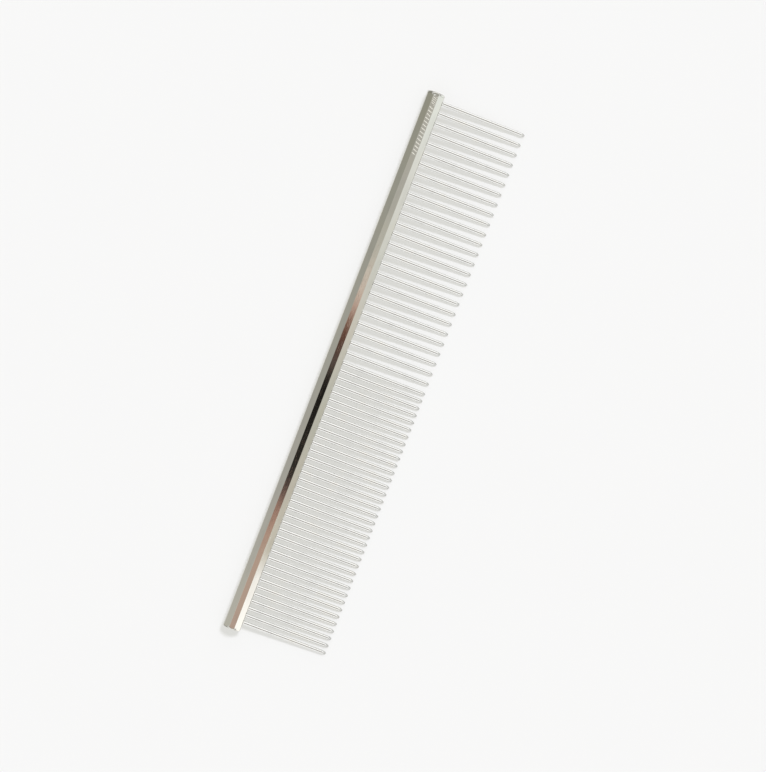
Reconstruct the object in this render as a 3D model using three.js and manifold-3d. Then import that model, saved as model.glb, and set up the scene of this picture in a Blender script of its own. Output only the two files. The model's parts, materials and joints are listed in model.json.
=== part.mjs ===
// A two-density steel grooming comb: an octagonal bar with a single row of round pins set in it.
//
// The comb is drawn along X with its pins pointing to -Y, in the frame of the bar's own axis, and is
// then turned about X into the pose in which it lies on a table: the bar on one edge of its under
// flat, the pins resting on their tips. The coarse half of the comb is at +X. Millimetres, +Z up.

import * as THREE from "three";
import { mergeVertices } from "three/addons/utils/BufferGeometryUtils.js";
import Module from "manifold-3d";

// ---- driving dimensions -----------------------------------------------------------------------

const BAR_LENGTH = 190;
const BAR_ACROSS_FLATS = 6.1;
const BAR_EDGE_RADIUS = 1.05;
const BAR_EDGE_STEPS = 3;
const BAR_END_ROUNDING = 1; // radius of the turned rounding at both ends
const BAR_END_STEPS = 4;
const BAR_TURNED_SIDES = 32;

const TOOTH_REACH = 29.4; // from the bar's tooth-side flat to the tip
const TOOTH_SET_IN = 3.2; // length of root inside the bar
const TOOTH_ROOT_RADIUS = 0.75;
const TOOTH_NECK_RADIUS = 0.68; // where the rounding of the tip begins
const TOOTH_TIP_LENGTH = 1.1; // length of the rounded tip
const TOOTH_ROOT_CHAMFER = 0.2;
const TOOTH_SIDES = 12;
const TOOTH_TIP_STEPS = 3;

const HOLE_CLEARANCE = 0.06; // around the set-in root, and past its inner end

const HALF_SPAN = 92; // each pitch fills one half of the row
const ROW_MIDDLE = 0.33; // the row sits a little nearer the coarse end of the bar
const COARSE_GAPS = 26;
const FINE_GAPS = 36;
const JOINED_PAIRS = 4; // the last fine teeth are joined two by two inside the bar
const WEB_THICKNESS = 0.7; // of the hidden web that joins a pair
const WEB_DEPTH = 1.2; // how far the web reaches out from the teeth's inner end

// ---- worked out from them ---------------------------------------------------------------------

const HALF_FLATS = BAR_ACROSS_FLATS / 2;
const OCTAGON_SIDES = 8;
const CORNER_SHARE = Math.tan(Math.PI / OCTAGON_SIDES);
const ROOT_END_Y = TOOTH_SET_IN - HALF_FLATS; // the roots' inner end
const TIP_Y = -HALF_FLATS - TOOTH_REACH;
const COARSE_PITCH = HALF_SPAN / COARSE_GAPS;
const FINE_PITCH = HALF_SPAN / FINE_GAPS;

const coarseTeeth = Array.from(
  { length: COARSE_GAPS + 1 },
  (_, i) => ROW_MIDDLE + HALF_SPAN - i * COARSE_PITCH,
);
const fineTeeth = Array.from({ length: FINE_GAPS }, (_, i) => ROW_MIDDLE - (i + 1) * FINE_PITCH);
const pairedFrom = FINE_GAPS - 2 * JOINED_PAIRS;

// ---- materials --------------------------------------------------------------------------------

const platedBar = new THREE.MeshStandardMaterial({ color: 0xb4afa3, roughness: 0.22, metalness: 1 });
const platedTeeth = new THREE.MeshStandardMaterial({ color: 0xcfcdc6, roughness: 0.18, metalness: 1 });

// ---- solids: three.js shapes, joined and cut --------------------------------------------------

const MERGE_DISTANCE = 1e-4;

const wasm = await Module();
wasm.setup();

// The geometry with its shared vertices merged, and the empty triangles that this leaves taken out.
function toSolid(geometry) {
  const bare = geometry.clone();
  bare.deleteAttribute("normal");
  bare.deleteAttribute("uv");
  const merged = mergeVertices(bare, MERGE_DISTANCE);
  const corners = merged.index.array;
  const kept = [];
  for (let i = 0; i < corners.length; i += 3) {
    const [a, b, c] = corners.slice(i, i + 3);
    if (a !== b && b !== c && c !== a) {
      kept.push(a, b, c);
    }
  }
  const vertProperties = new Float32Array(merged.attributes.position.array);
  const triVerts = new Uint32Array(kept);
  return new wasm.Manifold(new wasm.Mesh({ numProp: 3, vertProperties, triVerts }));
}

function toGeometry(solid) {
  const mesh = solid.getMesh();
  const geometry = new THREE.BufferGeometry();
  geometry.setAttribute("position", new THREE.BufferAttribute(mesh.vertProperties, mesh.numProp));
  geometry.setIndex(new THREE.BufferAttribute(mesh.triVerts, 1));
  return geometry;
}

// ---- the bar ----------------------------------------------------------------------------------

// The regular octagon with its flats up, down and to the sides, and its corners rounded.
function octagonOutline() {
  const outline = new THREE.Shape();
  const cornerRadius = (HALF_FLATS - BAR_EDGE_RADIUS) / Math.cos(Math.PI / OCTAGON_SIDES);
  for (let i = 0; i < OCTAGON_SIDES; i += 1) {
    const turn = ((i + 0.5) * 2 * Math.PI) / OCTAGON_SIDES;
    const halfArc = Math.PI / OCTAGON_SIDES;
    outline.absarc(
      cornerRadius * Math.cos(turn),
      cornerRadius * Math.sin(turn),
      BAR_EDGE_RADIUS,
      turn - halfArc,
      turn + halfArc,
    );
  }
  outline.closePath();
  return outline;
}

function extrudedBar() {
  const bar = new THREE.ExtrudeGeometry(octagonOutline(), {
    depth: BAR_LENGTH,
    curveSegments: BAR_EDGE_STEPS,
    bevelEnabled: false,
  });
  bar.translate(0, 0, -BAR_LENGTH / 2);
  bar.rotateY(Math.PI / 2);
  return toSolid(bar);
}

// A round rod just wide enough for the octagon, with its ends rounded as if turned on a lathe.
function turnedEnvelope() {
  const radius = HALF_FLATS / Math.cos(Math.PI / OCTAGON_SIDES);
  const halfStraight = BAR_LENGTH / 2 - BAR_END_ROUNDING;
  const farEnd = [];
  for (let i = 0; i <= BAR_END_STEPS; i += 1) {
    const turn = (i * Math.PI) / (2 * BAR_END_STEPS);
    const across = radius - BAR_END_ROUNDING * (1 - Math.cos(turn));
    farEnd.push(new THREE.Vector2(across, halfStraight + BAR_END_ROUNDING * Math.sin(turn)));
  }
  farEnd.push(new THREE.Vector2(0, BAR_LENGTH / 2));
  const nearEnd = farEnd.map((point) => new THREE.Vector2(point.x, -point.y)).reverse();
  const rod = new THREE.LatheGeometry([...nearEnd, ...farEnd], BAR_TURNED_SIDES);
  rod.rotateZ(-Math.PI / 2);
  return toSolid(rod);
}

// ---- the teeth --------------------------------------------------------------------------------

// A pin's outline from its inner end to its tip: x is the radius and y the place along the pin.
function toothProfile() {
  const profile = [
    new THREE.Vector2(0, ROOT_END_Y),
    new THREE.Vector2(TOOTH_ROOT_RADIUS - TOOTH_ROOT_CHAMFER, ROOT_END_Y),
    new THREE.Vector2(TOOTH_ROOT_RADIUS, ROOT_END_Y - TOOTH_ROOT_CHAMFER),
  ];
  for (let i = 0; i <= TOOTH_TIP_STEPS; i += 1) {
    const turn = (i * Math.PI) / (2 * TOOTH_TIP_STEPS);
    const radius = i === TOOTH_TIP_STEPS ? 0 : TOOTH_NECK_RADIUS * Math.cos(turn);
    profile.push(new THREE.Vector2(radius, TIP_Y + TOOTH_TIP_LENGTH * (1 - Math.sin(turn))));
  }
  return profile.reverse();
}

function toothGeometry(x) {
  const tooth = new THREE.LatheGeometry(toothProfile(), TOOTH_SIDES);
  tooth.translate(x, 0, 0);
  return tooth;
}

// The hole for a root: the root's own outline with the clearance around it, open at the flat.
function holeSolid(x) {
  const radius = TOOTH_ROOT_RADIUS + HOLE_CLEARANCE;
  const innerEnd = ROOT_END_Y + HOLE_CLEARANCE;
  const profile = [
    new THREE.Vector2(0, -2 * HALF_FLATS),
    new THREE.Vector2(radius, -2 * HALF_FLATS),
    new THREE.Vector2(radius, innerEnd),
    new THREE.Vector2(0, innerEnd),
  ];
  const hole = new THREE.LatheGeometry(profile, TOOTH_SIDES);
  hole.translate(x, 0, 0);
  return toSolid(hole);
}

// The web between two neighbouring roots, grown by the given clearance on every free side.
function webSolid(xFrom, xTo, clearance) {
  const web = new THREE.BoxGeometry(
    Math.abs(xTo - xFrom),
    WEB_DEPTH + 2 * clearance,
    WEB_THICKNESS + 2 * clearance,
  );
  const middleY = ROOT_END_Y - TOOTH_ROOT_CHAMFER - WEB_DEPTH / 2;
  web.translate((xFrom + xTo) / 2, middleY, 0);
  return toSolid(web);
}

function toothPairGeometry(xFrom, xTo) {
  const web = webSolid(xFrom, xTo, 0);
  const pair = toSolid(toothGeometry(xFrom)).add(toSolid(toothGeometry(xTo))).add(web);
  return toGeometry(pair);
}

// ---- the assembly -----------------------------------------------------------------------------

function barGeometry(pairs) {
  let bar = extrudedBar().intersect(turnedEnvelope());
  for (const x of [...coarseTeeth, ...fineTeeth]) {
    bar = bar.subtract(holeSolid(x));
  }
  for (const [xFrom, xTo] of pairs) {
    bar = bar.subtract(webSolid(xFrom, xTo, HOLE_CLEARANCE));
  }
  return toGeometry(bar);
}

function namedMesh(name, geometry, material) {
  const mesh = new THREE.Mesh(geometry, material);
  mesh.name = name;
  return mesh;
}

const twoDigits = (i) => String(i + 1).padStart(2, "0");

const pairs = Array.from({ length: JOINED_PAIRS }, (_, i) => [
  fineTeeth[pairedFrom + 2 * i],
  fineTeeth[pairedFrom + 2 * i + 1],
]);

const comb = new THREE.Group();
comb.add(namedMesh("spine_bar", barGeometry(pairs), platedBar));
coarseTeeth.forEach((x, i) => {
  comb.add(namedMesh(`coarse_tooth_${twoDigits(i)}`, toothGeometry(x), platedTeeth));
});
fineTeeth.slice(0, pairedFrom).forEach((x, i) => {
  comb.add(namedMesh(`fine_tooth_${twoDigits(i)}`, toothGeometry(x), platedTeeth));
});
pairs.forEach(([xFrom, xTo], i) => {
  comb.add(namedMesh(`fine_tooth_pair_${twoDigits(i)}`, toothPairGeometry(xFrom, xTo), platedTeeth));
});

// ---- the pose on a table ----------------------------------------------------------------------

// The lean at which the bar's lower tooth-side edge and the tips touch one level surface.
function restingLean() {
  const edgeDrop = HALF_FLATS - BAR_EDGE_RADIUS;
  const edgeToTip = -edgeDrop * CORNER_SHARE - (TIP_Y + TOOTH_TIP_LENGTH);
  const along = Math.hypot(edgeToTip, edgeDrop);
  return Math.atan2(edgeDrop, edgeToTip) + Math.asin((BAR_EDGE_RADIUS - TOOTH_NECK_RADIUS) / along);
}

comb.rotation.x = restingLean();
const box = new THREE.Box3().setFromObject(comb, true);
comb.position.set(
  -(box.min.x + box.max.x) / 2,
  -(box.min.y + box.max.y) / 2,
  -box.min.z,
);

export default comb;
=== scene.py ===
"""Looks for the steel grooming comb: a plated octagonal bar with 63 separate plated pins set in it,
lying on a pale table under soft light, seen from straight above.

Shapes are worked out in millimetres in the bar's own frame (x along the bar, teeth towards -y, the
engraved flat facing +z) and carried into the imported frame, in metres, by the bar's lean on the table.
"""

import json
import math
import random

import bpy
import numpy as np
from mathutils import Matrix, Vector


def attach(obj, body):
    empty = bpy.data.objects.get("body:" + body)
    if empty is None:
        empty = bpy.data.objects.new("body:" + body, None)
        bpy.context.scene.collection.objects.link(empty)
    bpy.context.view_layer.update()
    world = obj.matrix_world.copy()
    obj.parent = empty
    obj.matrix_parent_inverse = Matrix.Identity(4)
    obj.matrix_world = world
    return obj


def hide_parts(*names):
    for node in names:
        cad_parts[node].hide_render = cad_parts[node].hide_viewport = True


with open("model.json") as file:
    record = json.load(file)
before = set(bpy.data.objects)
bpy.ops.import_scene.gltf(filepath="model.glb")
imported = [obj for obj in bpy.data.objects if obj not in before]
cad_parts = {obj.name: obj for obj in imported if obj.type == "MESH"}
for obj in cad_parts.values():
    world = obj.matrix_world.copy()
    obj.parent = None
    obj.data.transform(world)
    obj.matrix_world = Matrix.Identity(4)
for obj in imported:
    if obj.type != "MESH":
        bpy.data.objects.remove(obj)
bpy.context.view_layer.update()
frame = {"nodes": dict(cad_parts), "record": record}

# ---- driving values ---------------------------------------------------------------------------

MM = 0.001
SIDES = 8
HALF_TURN = math.pi / SIDES

EDGE_RADIUS = 1.05  # of the bar's long edges
END_RADIUS = 1.0  # of the turned rounding at the bar's ends
END_BLEND = 0.12  # softness of the line where the rounding meets the flats

RIM_CHAMFER = 0.03  # round each drilled hole
HOLE_CLEARANCE = 0.03  # round a pin's root, and past its inner end

NECK_SHARE = 0.91  # a pin's radius where its tip begins, as a share of its root's
TIP_LENGTH = 1.5
TIP_WANDER = 0.04  # how far a tip strays along the row

# ---- the frame of the bar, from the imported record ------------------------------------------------

mounts = {m["name"]: m for m in frame["record"]["mounts"]}
top_point, under_point = (Vector(mounts[n]["pos_m"]) for n in ("top_face", "under_face"))
top_normal = Vector(mounts["top_face"]["axis"])
lean = math.atan2(-top_normal.y, top_normal.z)
to_frame = Matrix.Translation((top_point + under_point) / 2) @ Matrix.Rotation(lean, 4, "X")
to_bar = to_frame.inverted()
half_flats = (top_point - under_point).length / 2 / MM


def bar_box(node):
    """The lowest and highest corner of a CAD node in the bar's frame, in millimetres."""
    points = np.array([to_bar @ v.co for v in frame["nodes"][node].data.vertices]) / MM
    return points.min(0), points.max(0)


bar_lo, bar_hi = bar_box("spine_bar")
half_length = (bar_hi[0] - bar_lo[0]) / 2
pin_lo, pin_hi = bar_box("coarse_tooth_01")
root_radius = (pin_hi[0] - pin_lo[0]) / 2
tip_y, root_end_y = pin_lo[1], pin_hi[1]


def pin_places():
    """(piece name, CAD node, x) of every pin, from the coarse end to the fine end."""
    places = []
    for node in sorted(n for n in frame["nodes"] if "tooth" in n):
        lo, hi = bar_box(node)
        if "pair" in node:
            places += [(node, hi[0] - root_radius), (node, lo[0] + root_radius)]
        else:
            places.append((node, (lo[0] + hi[0]) / 2))
    places.sort(key=lambda place: -place[1])
    counts = {"coarse": 0, "fine": 0}
    named = []
    for node, x in places:
        row = node.split("_")[0]
        counts[row] += 1
        named.append((f"{row}_pin_{counts[row]:02d}", node, x))
    return named


pins = pin_places()

# ---- meshes -----------------------------------------------------------------------------------


def make_piece(name, points, faces, normals, material, body="root"):
    """A smooth-shaded mesh object from points and normals in the bar's frame, riding on a body."""
    mesh = bpy.data.meshes.new(name)
    placed = [to_frame @ (Vector(p) * MM) for p in points]
    mesh.from_pydata(placed, [], faces)
    mesh.validate()
    mesh.shade_smooth()
    turn = to_frame.to_3x3()
    mesh.normals_split_custom_set_from_vertices([(turn @ Vector(n)).normalized() for n in normals])
    mesh.materials.append(material)
    piece = bpy.data.objects.new(name, mesh)
    bpy.context.scene.collection.objects.link(piece)
    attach(piece, body)
    return piece


# ---- the bar ----------------------------------------------------------------------------------

CORNER_STEPS = 8
FLAT_STEPS = 4
END_STATIONS = 14
CELL_STEPS = 6  # stations along one tooth's stretch of the bar
CAP_RINGS = (0.66, 0.33)  # rings that close an end, as shares of its rim
FIRST_FLAT = -math.pi / 2  # the flat that holds the teeth faces -y
ARC_CENTRE = (half_flats - EDGE_RADIUS) / math.cos(HALF_TURN)
HALF_FLAT_WIDTH = (half_flats - EDGE_RADIUS) * math.tan(HALF_TURN)


def octagon_points():
    """(y, z, y normal, z normal) round the section, from the middle of the edge before the tooth flat."""
    ring = []
    for side in range(SIDES):
        facing = FIRST_FLAT + side * 2 * HALF_TURN
        out = np.array([math.cos(facing), math.sin(facing)])
        along = np.array([-out[1], out[0]])
        for i in range(FLAT_STEPS + 1):
            offset = HALF_FLAT_WIDTH * (2 * i / FLAT_STEPS - 1)
            ring.append((*(half_flats * out + offset * along), *out))
        centre = ARC_CENTRE * np.array([math.cos(facing + HALF_TURN), math.sin(facing + HALF_TURN)])
        for i in range(1, CORNER_STEPS):
            turn = facing + 2 * HALF_TURN * i / CORNER_STEPS
            normal = np.array([math.cos(turn), math.sin(turn)])
            ring.append((*(centre + EDGE_RADIUS * normal), *normal))
    return np.array(ring)


def envelope_radius(x):
    """The turned rounding's radius at x: the octagon's circle, drawn in round the ends."""
    widest = half_flats / math.cos(HALF_TURN)
    past = max(0.0, abs(x) - (half_length - END_RADIUS))
    return widest - END_RADIUS + math.sqrt(max(0.0, END_RADIUS**2 - past**2))


def soft_min(a, b):
    """The smaller of a and b, rounded where they are within END_BLEND of each other."""
    h = np.clip(0.5 + 0.5 * (b - a) / END_BLEND, 0, 1)
    return b * (1 - h) + a * h - END_BLEND * h * (1 - h) / 4


def stations():
    """The x of every section, from the fine end to the coarse end, and each tooth's first section."""
    xs = []
    centres = sorted(x for _, _, x in pins)
    for i in range(END_STATIONS + 1):
        turn = math.pi / 2 * (1 - i / END_STATIONS)
        xs.append(-(half_length - END_RADIUS) - END_RADIUS * math.sin(turn))
    bounds = [(a + b) / 2 for a, b in zip(centres, centres[1:])]
    bounds = [2 * centres[0] - bounds[0], *bounds, 2 * centres[-1] - bounds[-1]]
    first = []
    for lo, hi in zip(bounds, bounds[1:]):
        first.append(len(xs))
        xs += [lo + (hi - lo) * i / CELL_STEPS for i in range(CELL_STEPS)]
    xs.append(bounds[-1])
    xs += [-x for x in reversed(xs[: END_STATIONS + 1])]
    return xs, first, centres


def bar_piece(material):
    ring = octagon_points()
    columns = len(ring)
    reach = np.hypot(ring[:, 0], ring[:, 1])
    xs, first_of_cell, centres = stations()
    points, normals, faces = [], [], []

    for x in xs:
        limit = envelope_radius(x)
        kept = soft_min(reach, limit)
        share = kept / reach
        slope = 0.0
        past = max(0.0, abs(x) - (half_length - END_RADIUS))
        if past > 0:
            slope = past / math.sqrt(max(END_RADIUS**2 - past**2, 1e-6))
        turned = np.clip(0.5 + 0.5 * (reach - limit) / END_BLEND, 0, 1)
        for (y, z, ny, nz), s, w, r in zip(ring, share, turned, reach):
            points.append((x, y * s, z * s))
            flat = Vector((0, ny, nz))
            dome = Vector((math.copysign(slope, x), y / r, z / r)).normalized()
            normals.append(flat.lerp(dome, w))

    cells = {f: c for f, c in zip(first_of_cell, centres)}
    in_cell = {f + i for f in first_of_cell for i in range(CELL_STEPS)}
    for row in range(len(xs) - 1):
        for column in range(columns):
            if row in in_cell and column < FLAT_STEPS:
                continue
            a, b = row * columns + column, row * columns + (column + 1) % columns
            faces.append((a, b, b + columns, a + columns))
    for row, x in cells.items():
        add_hole(points, normals, faces, row, columns, x)
    for row, facing in ((0, -1), (len(xs) - 1, 1)):
        add_end_cap(points, normals, faces, row * columns, columns, xs[row], facing)
    bar = make_piece("comb_spine", points, faces, normals, material)
    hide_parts("spine_bar")
    return bar


def add_hole(points, normals, faces, row, columns, x):
    """One tooth's stretch of the flat at -y: its outline joined to a chamfered blind hole."""
    outline = [row * columns + j for j in range(FLAT_STEPS)]
    outline += [(row + i) * columns + FLAT_STEPS for i in range(CELL_STEPS)]
    outline += [(row + CELL_STEPS) * columns + FLAT_STEPS - j for j in range(FLAT_STEPS)]
    outline += [(row + CELL_STEPS - i) * columns for i in range(CELL_STEPS)]
    hole_radius = root_radius + HOLE_CLEARANCE
    rings = (
        (hole_radius + RIM_CHAMFER, -half_flats, (0, -1, 0), 0),
        (hole_radius, -half_flats + RIM_CHAMFER, (0, 0, 0), 1),
        (hole_radius, root_end_y + HOLE_CLEARANCE, (0, 0, 0), 1),
    )
    angles = []
    for corner in outline:
        p = points[corner]
        angles.append(math.atan2(p[2], p[0] - x))
    # even spacing round the hole, starting from the outline's first corner
    start, count = angles[0], len(outline)
    first_turn = (angles[1] - angles[0] + math.pi) % (2 * math.pi) - math.pi
    spin = math.copysign(2 * math.pi / count, first_turn)
    last = outline
    for radius, y, normal, inward in rings:
        here = []
        for i in range(count):
            turn = start + i * spin
            c, s = math.cos(turn), math.sin(turn)
            here.append(len(points))
            points.append((x + radius * c, y, radius * s))
            normals.append((-c * inward, normal[1], -s * inward) if inward else normal)
        for i in range(count):
            j = (i + 1) % count
            faces.append((last[i], last[j], here[j], here[i]))
        last = here
    bottom = len(points)
    points.append((x, root_end_y + HOLE_CLEARANCE, 0))
    normals.append((0, -1, 0))
    faces.extend((last[i], last[(i + 1) % count], bottom) for i in range(count))


def add_end_cap(points, normals, faces, first, columns, x, facing):
    """Closes one end of the bar with rings that shrink to the middle."""
    last = [first + j for j in range(columns)]
    rim = [points[i] for i in last]
    for share in CAP_RINGS:
        here = []
        for _, y, z in rim:
            here.append(len(points))
            points.append((x, y * share, z * share))
            normals.append((facing, 0, 0))
        for i in range(columns):
            j = (i + 1) % columns
            quad = (last[i], here[i], here[j], last[j])
            faces.append(quad if facing < 0 else quad[::-1])
        last = here
    centre = len(points)
    points.append((x, 0, 0))
    normals.append((facing, 0, 0))
    for i in range(columns):
        triangle = (last[i], centre, last[(i + 1) % columns])
        faces.append(triangle if facing < 0 else triangle[::-1])


# ---- the pins ---------------------------------------------------------------------------------

PIN_SIDES = 24
SHAFT_STEPS = 8
TIP_STEPS = 9
ROOT_CHAMFER = 0.2
ROOT_STRAIGHT = 0.3  # a pin keeps its full thickness this far inside the bar
CHAMFER_TILT = 0.4  # of the chamfer's normals, so that it shades as a small rounding


def pin_profile():
    """(radius, y, radial normal, y normal) from the end in the bar to the tip."""
    neck_radius = root_radius * NECK_SHARE
    neck_y = tip_y + TIP_LENGTH
    profile = [
        (root_radius - ROOT_CHAMFER, root_end_y, CHAMFER_TILT, 1.0),
        (root_radius, root_end_y - ROOT_CHAMFER, 1.0, CHAMFER_TILT),
        (root_radius, -half_flats + ROOT_STRAIGHT, 1.0, 0.0),
    ]
    for i in range(SHAFT_STEPS):
        t = i / SHAFT_STEPS
        y = -half_flats * (1 - t) + neck_y * t
        profile.append((root_radius + (neck_radius - root_radius) * t, y, 1.0, 0.0))
    for i in range(TIP_STEPS):
        turn = math.pi / 2 * i / TIP_STEPS
        c, s = math.cos(turn), math.sin(turn)
        profile.append((neck_radius * c, neck_y - TIP_LENGTH * s, c / neck_radius, -s / TIP_LENGTH))
    return profile


def pin_piece(name, node, x, wander, material):
    profile = pin_profile()
    points, normals, faces = [], [], []
    length = -half_flats - tip_y
    for radius, y, across, along in profile:
        drift = wander * max(0.0, (-half_flats - y) / length) ** 2
        for i in range(PIN_SIDES):
            turn = 2 * math.pi * i / PIN_SIDES
            c, s = math.cos(turn), math.sin(turn)
            points.append((x + drift + radius * c, y, radius * s))
            normals.append((across * c, along, across * s))
    for ring in range(len(profile) - 1):
        for i in range(PIN_SIDES):
            a, b = ring * PIN_SIDES + i, ring * PIN_SIDES + (i + 1) % PIN_SIDES
            faces.append((a, b, b + PIN_SIDES, a + PIN_SIDES))
    ends = ((0, root_end_y, 0, 1), ((len(profile) - 1) * PIN_SIDES, tip_y, wander, -1))
    for first, y, drift, facing in ends:
        centre = len(points)
        points.append((x + drift, y, 0))
        normals.append((0, facing, 0))
        for i in range(PIN_SIDES):
            triangle = (first + i, centre, first + (i + 1) % PIN_SIDES)
            faces.append(triangle if facing > 0 else triangle[::-1])
    pin = make_piece(name, points, faces, normals, material)
    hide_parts(node)
    return pin


# ---- node helpers -----------------------------------------------------------------------------


def rgba(colour):
    return (*colour, 1.0)


def add_node(tree, kind, settings=None, **inputs):
    """A node with its settings, and each named input set to a value or linked to a socket."""
    node = tree.nodes.new(kind)
    for key, value in (settings or {}).items():
        setattr(node, key, value)
    for key, value in inputs.items():
        socket = node.inputs[int(key[1:])] if key[1:].isdigit() else node.inputs[key.replace("_", " ")]
        if isinstance(value, bpy.types.NodeSocket):
            tree.links.new(value, socket)
        else:
            socket.default_value = value
    return node


def maths(tree, operation, a, b=0.0, c=0.0, clamp=False):
    settings = {"operation": operation, "use_clamp": clamp}
    return add_node(tree, "ShaderNodeMath", settings, i0=a, i1=b, i2=c).outputs[0]


def step(tree, value, low, high):
    """0 where the value is below low, 1 where it is above high, and smooth between them."""
    settings = {"interpolation_type": "SMOOTHSTEP"}
    return add_node(tree, "ShaderNodeMapRange", settings, i0=value, i1=low, i2=high).outputs[0]


def mixed(tree, share, first, second):
    """The first colour where the share is 0, the second where it is 1."""
    first, second = (rgba(c) if isinstance(c, tuple) else c for c in (first, second))
    node = add_node(tree, "ShaderNodeMix", {"data_type": "RGBA"}, i0=share, i6=first, i7=second)
    return node.outputs[2]


def ramp(tree, value, stops):
    node = add_node(tree, "ShaderNodeValToRGB", None, Fac=value)
    elements = node.color_ramp.elements
    while len(elements) < len(stops):
        elements.new(0.5)
    for element, (place, colour) in zip(elements, stops):
        element.position = place
        element.color = rgba(colour)
    return node.outputs["Color"]


def noise(tree, vector, detail=3.0, roughness=0.5):
    inputs = {"Vector": vector, "Scale": 1.0, "Detail": detail, "Roughness": roughness}
    return add_node(tree, "ShaderNodeTexNoise", {"noise_dimensions": "3D"}, **inputs).outputs["Fac"]


def stretched(tree, coordinates, per_mm, turn=0.0):
    """Coordinates in metres made into noise coordinates, per_mm to the millimetre, turned about z."""
    inputs = {"Vector": coordinates, "Rotation": (0, 0, turn), "Scale": tuple(s / MM for s in per_mm)}
    return add_node(tree, "ShaderNodeMapping", None, **inputs).outputs[0]


# ---- materials --------------------------------------------------------------------------------

BAR_TINT = (0.72, 0.71, 0.67)
BAR_GRAIN = (0.05, 14.0, 14.0)  # polishing lines along x: noise to the millimetre on each axis
BAR_ROUGHNESS = 0.028
PIN_TINT = (0.80, 0.80, 0.785)
PIN_GRAIN = (10.0, 0.08, 10.0)  # polishing lines along y
PIN_ROUGHNESS = 0.06

# the plating's wear, and what each kind adds to the roughness
LINE_ROUGHNESS = 0.02
SCRATCH_GRAIN = (0.35, 9.0, 9.0)
SCRATCH_TURNS = (0.35, -0.5, 1.2)  # radians about z
SCRATCH_FROM, SCRATCH_TO = 0.66, 0.74  # of the noise: only its peaks are scratches
SCRATCH_ROUGHNESS = 0.05
SCRATCH_HEIGHT = -0.5  # against the polishing lines
SMUDGE_GRAIN = (0.12, 0.3, 0.3)
SMUDGE_ROUGHNESS = 0.04
DULL_SHARE = 0.94  # of the tint, where the plating is dull
WARM_SHARES = (1.0, 0.99, 0.97)
BUMP_STRENGTH = 0.03
BUMP_DISTANCE = 0.00002


def new_material(name):
    material = bpy.data.materials.new(name)
    material.use_nodes = True
    tree = material.node_tree
    return material, tree, tree.nodes["Principled BSDF"]


def plate(name, tint, grain, roughness):
    """Bright plating: polishing lines along the grain, fine scratches, faint smudges and a soft tint."""
    material, tree, shader = new_material(name)
    place = tree.nodes.new("ShaderNodeTexCoord").outputs["Object"]

    lines = noise(tree, stretched(tree, place, grain), detail=4.0, roughness=0.6)
    scratches = None
    for turn in SCRATCH_TURNS:
        streak = noise(tree, stretched(tree, place, SCRATCH_GRAIN, turn), detail=1.0)
        thin = step(tree, streak, SCRATCH_FROM, SCRATCH_TO)
        scratches = thin if scratches is None else maths(tree, "MAXIMUM", scratches, thin)
    smudges = noise(tree, stretched(tree, place, SMUDGE_GRAIN))

    rough = maths(tree, "MULTIPLY_ADD", lines, LINE_ROUGHNESS, roughness - LINE_ROUGHNESS / 2)
    rough = maths(tree, "MULTIPLY_ADD", scratches, SCRATCH_ROUGHNESS, rough)
    smudged = maths(tree, "SUBTRACT", smudges, 0.5)
    rough = maths(tree, "MULTIPLY_ADD", smudged, SMUDGE_ROUGHNESS, rough, clamp=True)

    dull = tuple(DULL_SHARE * c for c in tint)
    warm = tuple(share * c for share, c in zip(WARM_SHARES, tint))
    colour = ramp(tree, smudges, ((0.3, warm), (0.5, tint), (0.72, dull)))

    relief = {"Strength": BUMP_STRENGTH, "Distance": BUMP_DISTANCE}
    relief["Height"] = maths(tree, "MULTIPLY_ADD", scratches, SCRATCH_HEIGHT, lines)
    bump = add_node(tree, "ShaderNodeBump", None, **relief)
    tree.links.new(bump.outputs[0], shader.inputs["Normal"])
    return material, tree, shader, place, colour, rough


def pin_material():
    material, tree, shader, _, colour, rough = plate("plated_pins", PIN_TINT, PIN_GRAIN, PIN_ROUGHNESS)
    tree.links.new(colour, shader.inputs["Base Color"])
    tree.links.new(rough, shader.inputs["Roughness"])
    shader.inputs["Metallic"].default_value = 1.0
    return material


# rows of plain slanted strokes: from and to, in millimetres from the coarse end, pitch and thickness
MARK_ROWS = ((4.6, 22.0, 1.25, 0.34), (1.7, 4.2, 0.62, 0.22))
MARK_HALF_HEIGHT = 0.70
MARK_DEPTH = 0.4  # below the top flat's middle, nothing is marked
STROKE_SLANT = 0.35
STROKE_EDGE = 0.05
MARK_CREAM = (0.41, 0.40, 0.355)
MARK_ROUGHNESS = 0.5


def mark_row(tree, along, across, start, end, pitch, thickness):
    """One row of slanted strokes, by the distance from the bar's end and across its top flat."""
    phase = maths(tree, "MULTIPLY_ADD", across, STROKE_SLANT, along)
    phase = maths(tree, "FRACT", maths(tree, "DIVIDE", phase, pitch))
    off_stroke = maths(tree, "ABSOLUTE", maths(tree, "SUBTRACT", phase, 0.5))
    off_stroke = maths(tree, "MULTIPLY", off_stroke, pitch)
    stroke = step(tree, off_stroke, thickness / 2 + STROKE_EDGE, thickness / 2 - STROKE_EDGE)
    past_start = maths(tree, "GREATER_THAN", along, start)
    before_end = maths(tree, "LESS_THAN", along, end)
    inside = maths(tree, "MULTIPLY", past_start, before_end)
    return maths(tree, "MULTIPLY", stroke, inside)


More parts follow.
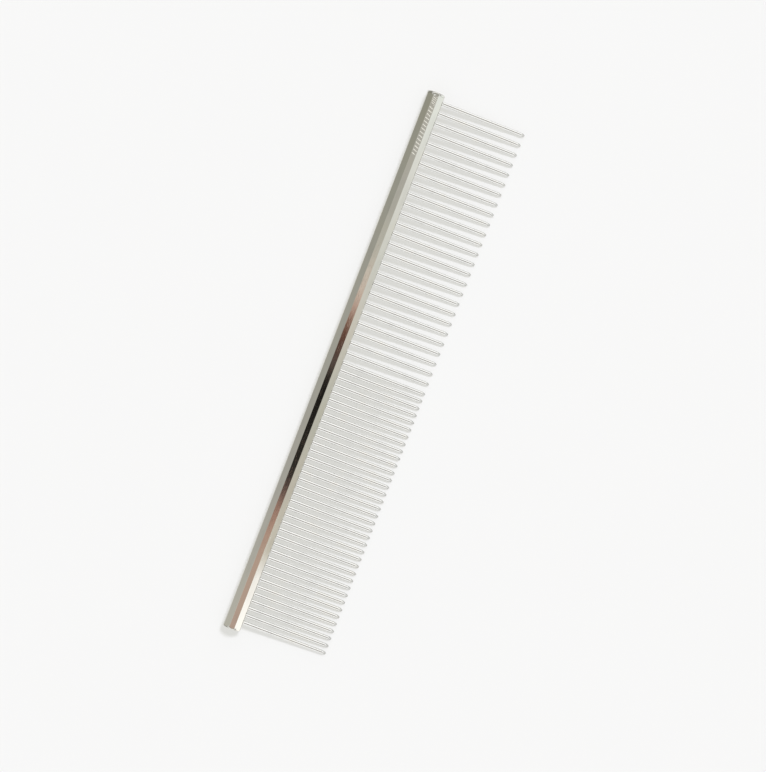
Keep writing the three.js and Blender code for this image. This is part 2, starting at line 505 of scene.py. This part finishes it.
def mark_mask(tree, place):
    """Where the strokes near the coarse end are etched into the top flat."""
    parts = add_node(tree, "ShaderNodeSeparateXYZ", None, Vector=place).outputs
    along = maths(tree, "MULTIPLY_ADD", parts[0], -1 / MM, half_length)
    across = maths(tree, "MULTIPLY_ADD", parts[1], 1 / MM, -top_point.y / MM)
    first, second = (mark_row(tree, along, across, *row) for row in MARK_ROWS)
    from_middle = maths(tree, "ABSOLUTE", across)
    tall = step(tree, from_middle, MARK_HALF_HEIGHT + STROKE_EDGE, MARK_HALF_HEIGHT - STROKE_EDGE)
    upper = maths(tree, "GREATER_THAN", parts[2], top_point.z - MARK_DEPTH * MM)
    mask = maths(tree, "MAXIMUM", first, second)
    return maths(tree, "MULTIPLY", maths(tree, "MULTIPLY", mask, tall), upper)


def bar_material():
    material, tree, shader, place, colour, rough = plate("plated_bar", BAR_TINT, BAR_GRAIN, BAR_ROUGHNESS)
    mark = mark_mask(tree, place)
    tree.links.new(mixed(tree, mark, colour, MARK_CREAM), shader.inputs["Base Color"])
    tree.links.new(maths(tree, "SUBTRACT", 1.0, mark), shader.inputs["Metallic"])
    tree.links.new(maths(tree, "MULTIPLY_ADD", mark, MARK_ROUGHNESS, rough), shader.inputs["Roughness"])
    return material


# ---- the stage --------------------------------------------------------------------------------

FLOOR_SIZE = 6.0
FLOOR_DROP = 0.00001  # the table lies this far below the comb, so that they don't fight for one plane
FLOOR_MOTTLE = 0.02  # noise to the millimetre
MOTTLE_SHARE = 0.994  # of the table's white, where it is darkest
FLOOR_WHITE = (0.195, 0.196, 0.216)
FLOOR_GLOW = 0.589  # the table is lit from below as well, as a light table is
GLOW_TINT = (1.0, 0.997, 0.935)


def floor_material():
    material, tree, shader = new_material("pale_table")
    place = tree.nodes.new("ShaderNodeTexCoord").outputs["Object"]
    mottle = noise(tree, stretched(tree, place, (FLOOR_MOTTLE,) * 3), detail=2.0)
    low = tuple(MOTTLE_SHARE * c for c in FLOOR_WHITE)
    colour = ramp(tree, mottle, ((0.35, low), (0.65, FLOOR_WHITE)))
    tree.links.new(colour, shader.inputs["Base Color"])
    shader.inputs["Roughness"].default_value = 0.8
    shader.inputs["Specular IOR Level"].default_value = 0.0
    shader.inputs["Emission Color"].default_value = rgba(GLOW_TINT)
    shader.inputs["Emission Strength"].default_value = FLOOR_GLOW
    return material


def add_floor():
    half = FLOOR_SIZE / 2
    mesh = bpy.data.meshes.new("pale_table")
    corners = [(-half, -half, 0), (half, -half, 0), (half, half, 0), (-half, half, 0)]
    mesh.from_pydata(corners, [], [(0, 1, 2, 3)])
    mesh.materials.append(floor_material())
    floor = bpy.data.objects.new("pale_table", mesh)
    floor.location = (0, 0, -FLOOR_DROP)
    bpy.context.scene.collection.objects.link(floor)


def by_place(stops):
    """Ramp stops given by place along the bar in millimetres, fine end first, as shares of its length."""
    return [((x + half_length) / (2 * half_length), colour) for x, colour in stops]


# what the camera sees mirrored in the bar, by place along it: the room overhead in the top flat, the room
# behind in the +y facet, and the card, in the colours of the room in front, in the facet above the teeth
CEILING = (
    (-95, (0.60, 0.455, 0.38)),
    (-66, (0.595, 0.435, 0.355)),
    (-58, (0.56, 0.36, 0.28)),
    (-53, (0.46, 0.27, 0.21)),
    (-48, (0.26, 0.165, 0.14)),
    (-44.5, (0.07, 0.055, 0.05)),
    (-36, (0.03, 0.028, 0.024)),
    (-5.5, (0.012, 0.011, 0.01)),
    (-1.5, (0.14, 0.115, 0.10)),
    (8, (0.115, 0.05, 0.035)),
    (14, (0.24, 0.12, 0.08)),
    (19, (0.66, 0.46, 0.38)),
    (28, (0.80, 0.70, 0.61)),
    (42, (0.60, 0.595, 0.53)),
    (60, (0.545, 0.53, 0.485)),
    (95, (0.57, 0.56, 0.52)),
)
BEHIND = (
    (-95, (0.61, 0.60, 0.545)),
    (-45, (0.505, 0.495, 0.46)),
    (10, (0.465, 0.462, 0.42)),
    (95, (0.38, 0.376, 0.32)),
)
FRONT = (
    (-95, (1.45, 1.43, 1.41)),
    (-76, (1.25, 1.22, 1.19)),
    (-67, (0.76, 0.72, 0.63)),
    (-45, (0.69, 0.65, 0.57)),
    (-20, (0.63, 0.63, 0.56)),
    (10, (0.76, 0.73, 0.66)),
    (35, (0.83, 0.84, 0.79)),
    (65, (0.93, 0.935, 0.90)),
    (95, (1.05, 1.09, 1.06)),
)
OVERHEAD_RIM = (0.30, 0.295, 0.285)  # the dark rim on both sides of the room overhead
SIDE_LIT = (1.25, 1.25, 1.24)  # the bright side, towards +x
SIDE_FAR = (1.12, 1.12, 1.11)
SIDE_LOW = (0.50, 0.50, 0.49)  # both sides, close to the horizon
CORNER_LOW = (0.26, 0.26, 0.25)
CORNER_HIGH = (0.86, 0.86, 0.85)
BACKDROP = (0.94, 0.94, 0.94)  # what the camera sees past the table

# where one zone of the room gives way to the next, from and to, in the x, y or z of a direction
FRONT_EDGE = (-0.1, 0.1)  # y: the room in front, then the room behind
OVERHEAD_FRONT = (-0.25, -0.19)  # y: the front edge of the room overhead
OVERHEAD_BACK = (0.01, -0.05)  # y: its back edge
OVERHEAD_FOOT = (0.5, 0.7)  # z
SIDE_SPLIT = (-0.2, 0.2)  # x: the far side, then the lit side
HORIZON_EDGE = (0.05, 0.13)  # z
RIM_EDGE = (0.30, 0.38)  # x, either way
CORNER_RISE = (0.05, 0.65)  # z
CORNER_EDGE = (0.25, 0.5)  # y, either way
SIDE_EDGE = (0.118, 0.14)  # x, either way: just past the bar's ends, as the camera sees them


def add_world(camera_height):
    """A plain room by direction: pale sides, dim corners, and overhead a ceiling with a dark middle."""
    world = bpy.data.worlds.new("soft_room")
    bpy.context.scene.world = world
    world.use_nodes = True
    tree = world.node_tree
    tree.nodes.clear()
    direction = tree.nodes.new("ShaderNodeTexCoord").outputs["Generated"]
    dir_x, dir_y, dir_z = add_node(tree, "ShaderNodeSeparateXYZ", None, Vector=direction).outputs
    far_x = maths(tree, "ABSOLUTE", dir_x)
    far_y = maths(tree, "ABSOLUTE", dir_y)

    # a level mirror under the camera shows this direction at this share of the bar's length
    bar_length = 2 * half_length * MM
    under_camera = 0.5 + CAMERA_AIM[0] / bar_length
    along = maths(tree, "MULTIPLY_ADD", dir_x, camera_height / bar_length, under_camera)
    ceiling, behind, front = (ramp(tree, along, by_place(stops)) for stops in (CEILING, BEHIND, FRONT))

    room = mixed(tree, step(tree, dir_y, *FRONT_EDGE), front, behind)
    across = maths(tree, "MULTIPLY", step(tree, dir_y, *OVERHEAD_FRONT), step(tree, dir_y, *OVERHEAD_BACK))
    overhead = maths(tree, "MULTIPLY", across, step(tree, dir_z, *OVERHEAD_FOOT))
    room = mixed(tree, overhead, room, ceiling)

    side = mixed(tree, step(tree, dir_x, *SIDE_SPLIT), SIDE_FAR, SIDE_LIT)
    side = mixed(tree, step(tree, dir_z, *HORIZON_EDGE), SIDE_LOW, side)
    side = mixed(tree, step(tree, far_x, *RIM_EDGE), OVERHEAD_RIM, side)
    corner = mixed(tree, step(tree, dir_z, *CORNER_RISE), CORNER_LOW, CORNER_HIGH)
    side = mixed(tree, step(tree, far_y, *CORNER_EDGE), side, corner)
    room = mixed(tree, step(tree, far_x, *SIDE_EDGE), room, side)

    lit = add_node(tree, "ShaderNodeBackground", None, Color=room, Strength=1.0)
    plain = add_node(tree, "ShaderNodeBackground", None, Color=rgba(BACKDROP), Strength=1.0)
    rays = tree.nodes.new("ShaderNodeLightPath")
    seen = add_node(tree, "ShaderNodeMixShader", None, i0=rays.outputs["Is Camera Ray"],
                    i1=lit.outputs[0], i2=plain.outputs[0])
    output = tree.nodes.new("ShaderNodeOutputWorld")
    tree.links.new(seen.outputs[0], output.inputs["Surface"])


CARD_GAP = 0.25  # millimetres between the slim card and the bar's tooth side
CARD_FROM, CARD_TO = 4.3, 5.7  # its lower and upper edge, in millimetres above the table


def add_card():
    """A slim glowing card in front of the bar's tooth side, seen only as a reflection."""
    reach = half_length * MM
    y = to_frame.translation.y - (half_flats + CARD_GAP) * MM
    low, high = CARD_FROM * MM, CARD_TO * MM
    mesh = bpy.data.meshes.new("reflector_card")
    corners = [(-reach, y, low), (reach, y, low), (reach, y, high), (-reach, y, high)]
    mesh.from_pydata(corners, [], [(0, 1, 2, 3)])
    material = bpy.data.materials.new("reflector_card")
    material.use_nodes = True
    tree = material.node_tree
    tree.nodes.clear()
    place = tree.nodes.new("ShaderNodeTexCoord").outputs["Object"]
    parts = add_node(tree, "ShaderNodeSeparateXYZ", None, Vector=place).outputs
    along = maths(tree, "MULTIPLY_ADD", parts[0], 1 / (2 * half_length * MM), 0.5)
    glow = add_node(tree, "ShaderNodeEmission", None, Color=ramp(tree, along, by_place(FRONT)), Strength=1.0)
    output = tree.nodes.new("ShaderNodeOutputMaterial")
    tree.links.new(glow.outputs[0], output.inputs["Surface"])
    mesh.materials.append(material)
    card = bpy.data.objects.new("reflector_card", mesh)
    bpy.context.scene.collection.objects.link(card)
    for ray in ("camera", "diffuse", "transmission", "volume_scatter", "shadow"):
        setattr(card, f"visible_{ray}", False)


SUN_SLOPE = (0.55, -0.12)  # how far the key light leans towards +x and -y
SUN_ANGLE = math.radians(12)
SUN_STRENGTH = 3.6


def add_sun():
    """The key light: a soft sun that the metal doesn't mirror."""
    data = bpy.data.lights.new("key", "SUN")
    data.angle = SUN_ANGLE
    data.energy = SUN_STRENGTH
    sun = bpy.data.objects.new("key", data)
    sun.rotation_mode = "QUATERNION"
    sun.rotation_quaternion = Vector((*SUN_SLOPE, 1)).to_track_quat("Z", "Y")
    sun.visible_glossy = False
    bpy.context.scene.collection.objects.link(sun)


PICTURE_HEIGHT = 0.2555  # of the table, seen by the camera
CAMERA_LENS = 120.0
CAMERA_SENSOR = 36.0
CAMERA_AIM = (-0.00197, -0.0036)
CAMERA_TURN = math.radians(-69)


def add_camera():
    """The camera straight above the comb; returns its height."""
    data = bpy.data.cameras.new("overhead")
    data.lens = CAMERA_LENS
    data.sensor_width = CAMERA_SENSOR
    camera = bpy.data.objects.new("overhead", data)
    height = PICTURE_HEIGHT * CAMERA_LENS / CAMERA_SENSOR + half_flats * MM
    camera.location = (*CAMERA_AIM, height)
    camera.rotation_euler = (0, 0, CAMERA_TURN)
    bpy.context.scene.collection.objects.link(camera)
    bpy.context.scene.camera = camera
    return height


def main():
    bpy.context.scene.view_settings.view_transform = "Standard"
    camera_height = add_camera()
    add_floor()
    add_world(camera_height)
    add_card()
    add_sun()

    bar_piece(bar_material())
    plated = pin_material()
    wander = random.Random(7)
    for name, node, x in pins:
        pin = pin_piece(name, node, x, wander.uniform(-TIP_WANDER, TIP_WANDER), plated)


main()
